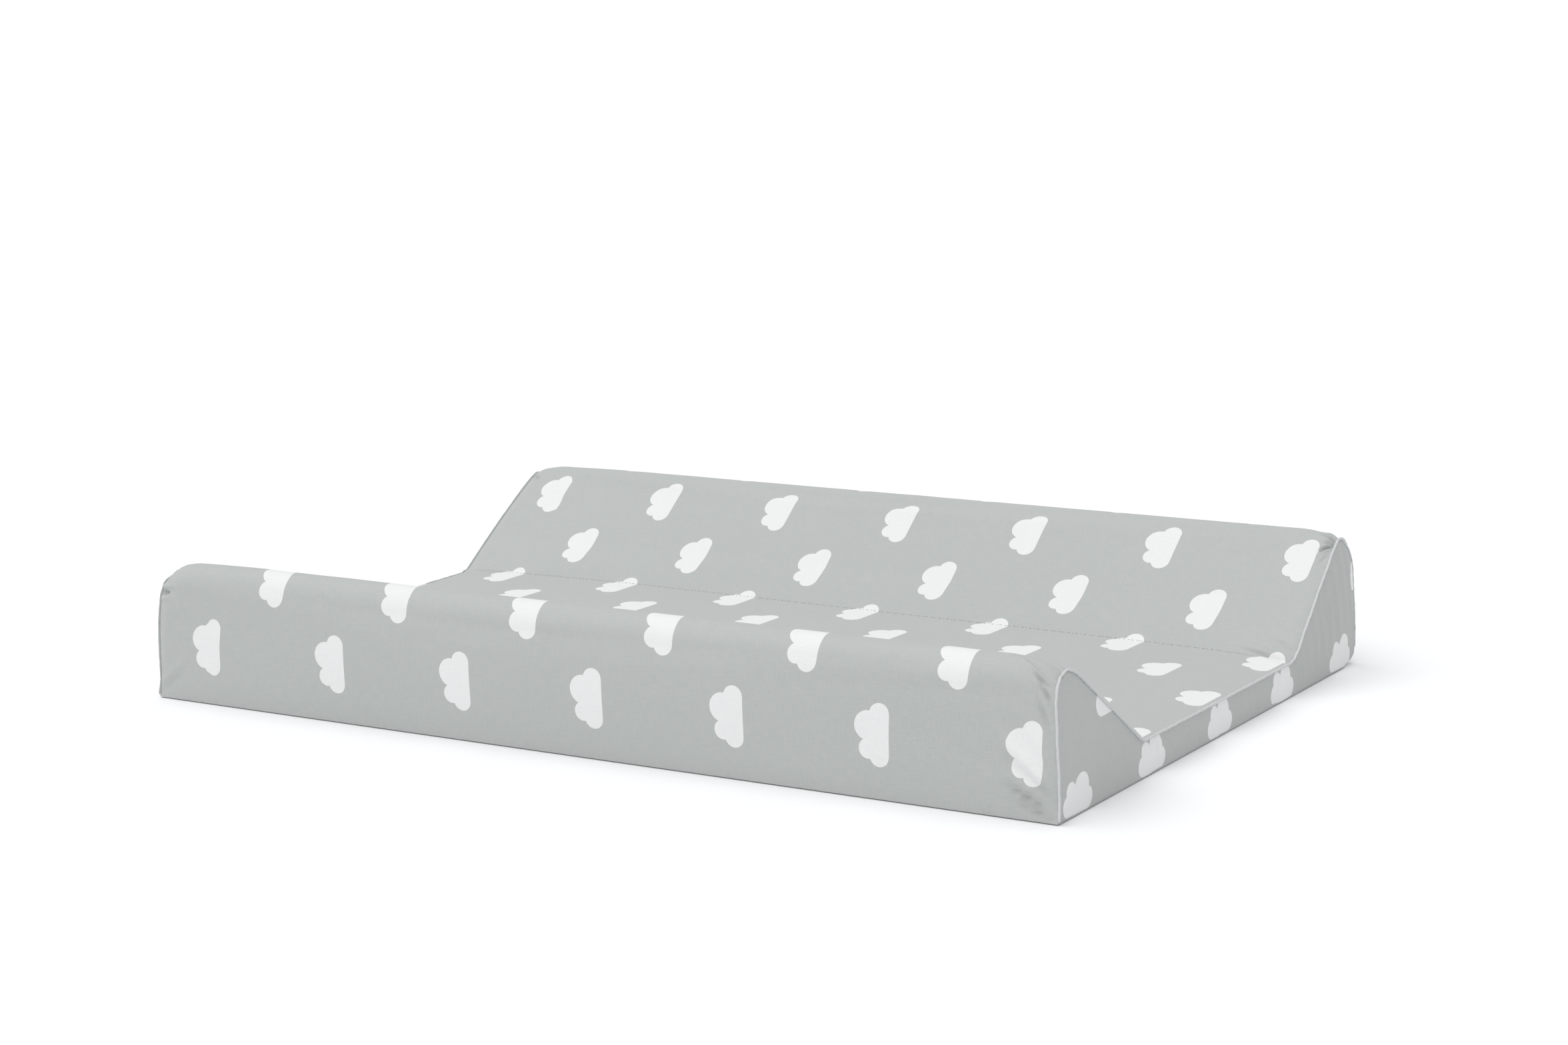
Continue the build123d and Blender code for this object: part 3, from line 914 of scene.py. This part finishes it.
rolled_seam, row, column = flat_cloth("rolled_seam", 9, count + 1)
turn = 2 * np.pi * column / 8
puff = np.array([noise.noise(Vector((t * 120, 2.5, 0.4))) for t in at])
puff = np.append(puff, puff[0])[row]
index = row % count
high = np.sin(turn) * 0.001 * (1 + 0.12 * puff)
out = np.cos(turn) * 0.0008 * (1 + 0.15 * puff)
spine = ring[index] - away[index] * 0.0007
raised = np.stack([0 * high, 0 * high, high + 0.0011], -1)
move_to(rolled_seam, spine + away[index] * out[:, None] + raised)
point, face = corner_points(rolled_seam)
lay_map(rolled_seam, "weave", np.stack([row * 0.004, turn * 0.001], -1)[point])
lay_map(rolled_seam, "print", np.stack([0 * turn + bare_print, row * 0.0], -1)[point])
lay_map(rolled_seam, "gather", np.stack([row * 0.004, 0.3 + 0.0 * row], -1)[point])
drop_first_map(rolled_seam)
close_tube(rolled_seam)
rolled_seam.data.materials.append(printed_cotton)
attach(rolled_seam, "pad")
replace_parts(rolled_seam, "base_seam")

base_panel, row, column = flat_cloth("base_panel_cloth", 76, 52)
across = -1 + 2 * column / 75
down = -1 + 2 * row / 51
x = across * (half_length - 0.0024)
y = down * (half_width - 0.0018)
rear_corner = rear_lift(y) * ease((np.abs(x) - 0.345) / 0.025)
draw = ease((y - 0.235) / 0.013) * ease((np.abs(x) - 0.35) / 0.02)
move_to(base_panel, np.stack([x, y - 0.0075 * draw, base_top * 0.85 + 0.003 * rear_corner], -1))
lay_weave(base_panel, x, y)
thicken(base_panel, 0.0006)
smooth(base_panel)
base_panel.data.materials.append(base_cloth)
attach(base_panel, "pad")
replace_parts(base_panel, "base_panel")


# --- The stitches along the creases and round the zip's opening ---
# A row of lockstitch in dark grey polyester thread ties the printed panel to a web of lining just
# above each crease. The same thread topstitches the hem of the zip's opening.
thread_material, start, shader = new_material("sewing_thread", Sheen_Weight=0.2, Specular_IOR_Level=0.3)
where = start.node("ShaderNodeTexCoord", output=3)
strands = {"Vector": where, "Scale": 2600.0, "Distortion": 1.5}
twist = start.node("ShaderNodeTexWave", {"wave_type": "BANDS"}, strands)
fuzz = start.speckle(where, 4000.0, 2.0)
feed(
    shader,
    Base_Color=(twist * 0.5 + fuzz * 0.5).mix((0.25, 0.265, 0.265, 1), (0.36, 0.375, 0.372, 1)),
    Roughness=0.5 + fuzz * 0.2,
    Normal=start.bump(twist, 0.4, 0.00005),
)


def stitch_row(name, points, outward, length, radius, body="pad"):
    """One small stitch, copied to each point along a line, each copy lying along the line."""
    bpy.ops.object.select_all(action="DESELECT")
    bpy.ops.mesh.primitive_uv_sphere_add(segments=6, ring_count=5, radius=radius)
    model = bpy.context.object
    bpy.ops.object.mode_set(mode="EDIT")
    bpy.ops.mesh.select_all(action="SELECT")
    bpy.ops.transform.resize(value=(1, 0.7, length / 2 / radius))
    bpy.ops.object.mode_set(mode="OBJECT")
    copies = [model]
    for index in range(1, len(points) - 1):
        tangent = Vector(points[index + 1] - points[index - 1]).normalized()
        out = Vector(outward[index]).normalized()
        flank = tangent.cross(out).normalized()
        turn = Matrix((flank, out, tangent)).transposed().to_4x4()
        copy = model.copy()
        copy.data = model.data.copy()
        scene.collection.objects.link(copy)
        copy.data.transform(Matrix.Translation(Vector(points[index]) + out * radius * 0.25) @ turn)
        copies.append(copy)
    bpy.data.objects.remove(copies.pop(0))
    for copy in copies:
        copy.select_set(True)
    bpy.context.view_layer.objects.active = copies[0]
    bpy.ops.object.join()
    row = bpy.context.object
    row.name = name
    smooth(row)
    row.data.materials.clear()
    row.data.materials.append(thread_material)
    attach(row, body)
    return row


def crease_line(side):
    """Points just above a crease, over the web below it, on the panel as it lies, 2.3 mm apart."""
    crease = rear_crease if side > 0 else front_crease
    near = np.abs(fine_arc - crease) < 0.012
    x, arc, where = fine_x[near], fine_arc[near], places(printed_panel)[near]
    line = []
    for spot in np.arange(0.005 - half_length, half_length - 0.005, 0.0023):
        up = 0.00055
        wander = 0.0003 * noise.noise(Vector((spot * 30, side, 4.0)))
        target = crease + side * (up + wander)
        closeness = np.exp(-(((x - spot) / 0.0035) ** 2) - ((arc - target) / 0.001) ** 2) + 1e-12
        line.append((where * closeness[:, None]).sum(0) / closeness.sum())
    return np.array(line)


for side, name in ((-1, "front"), (1, "rear")):
    line = crease_line(side)
    out = np.tile([0, -side * math.sin(slope), math.cos(slope)], (len(line), 1))
    stitches = stitch_row(f"crease_stitches_{name}", line, out, 0.0012, 0.00017)
    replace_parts(stitches, f"crease_thread_{name}")

hem = 0.0026
straight = np.arange(-window_half + 0.004, window_half - 0.004, 0.0027)
hem_x = -half_length - 0.00005
upper = [(hem_x, y, window_high + hem) for y in straight]
lower = [(hem_x, y, window_low - hem) for y in straight[::-1]]
turn = np.linspace(math.pi / 2, -math.pi / 2, 9)[1:-1]
reach = 0.005 + hem
bend_y = window_half - 0.005
far = [(hem_x, bend_y + reach * math.cos(a), window_middle + reach * math.sin(a)) for a in turn]
near = [(x, -y, z) for x, y, z in reversed(far)]
hem_line = np.array(upper + far + lower + near)
hem_line = np.concatenate([hem_line[-1:], hem_line, hem_line[:2]])
hem_out = np.tile([-1, 0, 0], (len(hem_line), 1))
stitch_row("zip_hem_stitches", hem_line, hem_out, 0.0019, 0.00024)


# --- The foam and the webs ---
# Two wedges and a slab of soft polyurethane foam fill the cover. The webs are strips of thin lining
# cloth sewn from the underside to the creases, between the blocks.
foam_material, start, shader = new_material("foam", Specular_IOR_Level=0.2)
where = start.node("ShaderNodeTexCoord", output=3)
cells = start.node("ShaderNodeTexVoronoi", {"feature": "F1"}, {"Vector": where, "Scale": 900.0})
patch = start.speckle(where, 14.0, 4.0)
feed(
    shader,
    Base_Color=(cells * 0.7 + patch * 0.3).mix((0.74, 0.7, 0.6, 1), (0.86, 0.83, 0.74, 1)),
    Roughness=0.86 + cells * 0.1,
    Normal=start.bump(cells, 0.6, 0.0004),
)
lining = woven(
    "lining_cloth",
    base=(0.78, 0.78, 0.76, 1),
    deep=(0.66, 0.66, 0.64, 1),
    pitch=0.0006,
    slub=0.01,
    bump=0.4,
    sheen=0.1,
)


def foam_block(name, node, lying):
    """A cut block of foam: the frame's outline drawn in a little, with soft edges and a level lattice."""
    low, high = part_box(node)
    left, right = low.x + 0.003, high.x - 0.013
    bpy.ops.object.select_all(action="DESELECT")
    bpy.ops.mesh.primitive_cube_add(size=1, location=(0, 0, 0))
    piece = bpy.context.object
    piece.name = name
    bpy.ops.object.mode_set(mode="EDIT")
    bpy.ops.mesh.select_all(action="SELECT")
    bpy.ops.mesh.subdivide(number_cuts=11)
    bpy.ops.object.mode_set(mode="OBJECT")
    where = places(piece) + 0.5
    x = left + where[:, 0] * (right - left)
    y = low.y + 0.003 + where[:, 1] * (high.y - low.y - 0.006)
    if lying:
        top = high.z - 0.0012 + 0.7 * crease_rise(x)
    else:
        outer = np.abs(y)
        along_slope = lying_height + (outer - crease_y) * math.tan(slope)
        shoulder = outer - (half_width - ridge_radius)
        ridge = wall_length + np.sqrt(np.maximum(ridge_radius**2 - np.maximum(shoulder, 0) ** 2, 0))
        foot = np.clip(1 - (outer - crease_y) / 0.036, 0, 1)
        top = np.minimum(along_slope, ridge) - 0.006 + 0.7 * foot * crease_rise(x)
    tip = 1 - 0.13 * np.clip((np.abs(x) - 0.315) / 0.055, 0, 1) ** 2
    y = y - np.sign(y) * 0.007 * (np.abs(y) > 0.2) * np.clip((np.abs(x) - 0.33) / 0.04, 0, 1)
    z = low.z + 0.0006 + where[:, 2] * (np.minimum(top, high.z + 0.005 * lying) * tip - low.z - 0.0006)
    lean = 0.008 * (z / pad_top) ** 2 * np.clip((np.abs(x) - 0.3) / 0.07, 0, 1)
    move_to(piece, np.stack([x - np.sign(x) * lean, y, z], -1))
    soften = piece.modifiers.new("soft_edges", "BEVEL")
    soften.width = 0.002
    soften.segments = 3
    bpy.ops.object.modifier_apply(modifier=soften.name)
    smooth(piece)
    piece.data.materials.append(foam_material)
    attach(piece, "pad")
    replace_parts(piece, node)


foam_block("foam_block_front", "foam_wedge_front", False)
foam_block("foam_block_middle", "foam_slab", True)
foam_block("foam_block_rear", "foam_wedge_rear", False)

for name in ("front", "rear"):
    low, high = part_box(f"divider_web_{name}")
    web, row, column = flat_cloth(f"web_{name}", 61, 8)
    x = low.x + 0.002 + column / 60 * (high.x - low.x - 0.012)
    z = low.z + 0.0003 + row / 7 * (high.z - low.z - 0.0012 + 0.75 * crease_rise(x))
    ripple = ripples(x, z, 30, 60, 9.4)
    move_to(web, np.stack([x, (low.y + high.y) / 2 + 0 * x + 0.00004 * ripple, z], -1))
    lay_weave(web, x, z)
    thicken(web, 0.0003, offset=0)
    web.data.materials.append(lining)
    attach(web, "pad")
    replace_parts(web, f"divider_web_{name}")


# --- The zip ---
# A nylon coil zip closes the cover across the left end. Two woven tapes are sewn behind the hem,
# each with a coil on its edge, and a cast slider with a pull tab runs between the stops.
tape_cloth = woven(
    "zip_tape",
    base=(0.44, 0.45, 0.45, 1),
    deep=(0.33, 0.34, 0.345, 1),
    pitch=0.0006,
    slub=0.004,
    bump=0.7,
    sheen=0.15,
)
for name in ("upper", "lower"):
    low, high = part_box(f"zip_tape_{name}")
    tape, row, column = flat_cloth(f"tape_{name}", 121, 9)
    y = high.y - column / 120 * (high.y - low.y)
    z = low.z + row / 8 * (high.z - low.z)
    ripple = ripples(y, z, 40, 90, 2.4)
    move_to(tape, np.stack([low.x + 0.0001 + 0.00005 * ripple, y, z], -1))
    lay_weave(tape, y, z)
    thicken(tape, 0.0004)
    tape.data.materials.append(tape_cloth)
    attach(tape, "pad")
    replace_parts(tape, f"zip_tape_{name}")

coil_material, start, shader = new_material("nylon_coil", Specular_IOR_Level=0.5)
where = start.node("ShaderNodeTexCoord", output=3)
scuff = start.speckle(where, 700.0, 4.0)
feed(
    shader,
    Base_Color=scuff.mix((0.34, 0.35, 0.355, 1), (0.46, 0.47, 0.475, 1)),
    Roughness=0.32 + scuff * 0.2,
    Normal=start.bump(scuff, 0.2, 0.00005),
)
coil_pitch = 0.0014
coil_wire = 0.00032
for name in ("upper", "lower"):
    low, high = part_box(f"zip_coil_{name}")
    deep = (high.x - low.x) / 2 - coil_wire
    tall = (high.z - low.z) / 2 - coil_wire
    turns = int((high.y - low.y - 2 * coil_wire) / coil_pitch) - 1
    bpy.ops.object.select_all(action="DESELECT")
    standing = (0, math.pi / 2, 0)
    bpy.ops.mesh.primitive_circle_add(vertices=5, radius=coil_wire, location=(0, 0, tall), rotation=standing)
    coil = bpy.context.object
    bpy.ops.object.transform_apply(location=True, rotation=True, scale=True)
    coil.name = f"coil_{name}"
    wind = coil.modifiers.new("wind", "SCREW")
    wind.axis = "Y"
    wind.steps = 10
    wind.render_steps = 10
    wind.iterations = turns
    wind.screw_offset = coil_pitch
    bpy.ops.object.modifier_apply(modifier=wind.name)
    where = places(coil)
    radial = np.hypot(where[:, 0], where[:, 2])
    turned = np.arctan2(where[:, 2], where[:, 0])
    inward = radial - tall
    where[:, 0] = (low.x + high.x) / 2 + np.cos(turned) * (deep + inward)
    where[:, 2] = (low.z + high.z) / 2 + np.sin(turned) * (tall + inward)
    where[:, 1] += (low.y + high.y) / 2 - (where[:, 1].min() + where[:, 1].max()) / 2
    move_to(coil, where)
    bpy.ops.object.mode_set(mode="EDIT")
    bpy.ops.mesh.select_all(action="SELECT")
    bpy.ops.mesh.normals_make_consistent(inside=False)
    bpy.ops.object.mode_set(mode="OBJECT")
    smooth(coil)
    coil.data.materials.append(coil_material)
    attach(coil, "pad")
    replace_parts(coil, f"zip_coil_{name}")

painted_metal, start, shader = new_material("painted_zip_metal", Specular_IOR_Level=0.5)
where = start.node("ShaderNodeTexCoord", output=3)
grain = start.speckle(where, 1500.0, 5.0)
rub = start.speckle(where, 260.0, 6.0)
worn = start.node("ShaderNodeMapRange", {"clamp": True}, {"Value": rub, "From Min": 0.62, "From Max": 0.7})
paint = grain.mix((0.36, 0.37, 0.375, 1), (0.44, 0.45, 0.455, 1))
feed(
    shader,
    Base_Color=worn.mix(paint, (0.62, 0.62, 0.6, 1)),
    Metallic=worn * 0.9,
    Roughness=0.34 + grain * 0.18,
    Normal=start.bump(grain, 0.15, 0.00008),
)
for name in ("zip_slider", "zip_pull_tab", "zip_top_stops", "zip_bottom_stop"):
    nodes[name].data.materials.clear()
    nodes[name].data.materials.append(painted_metal)
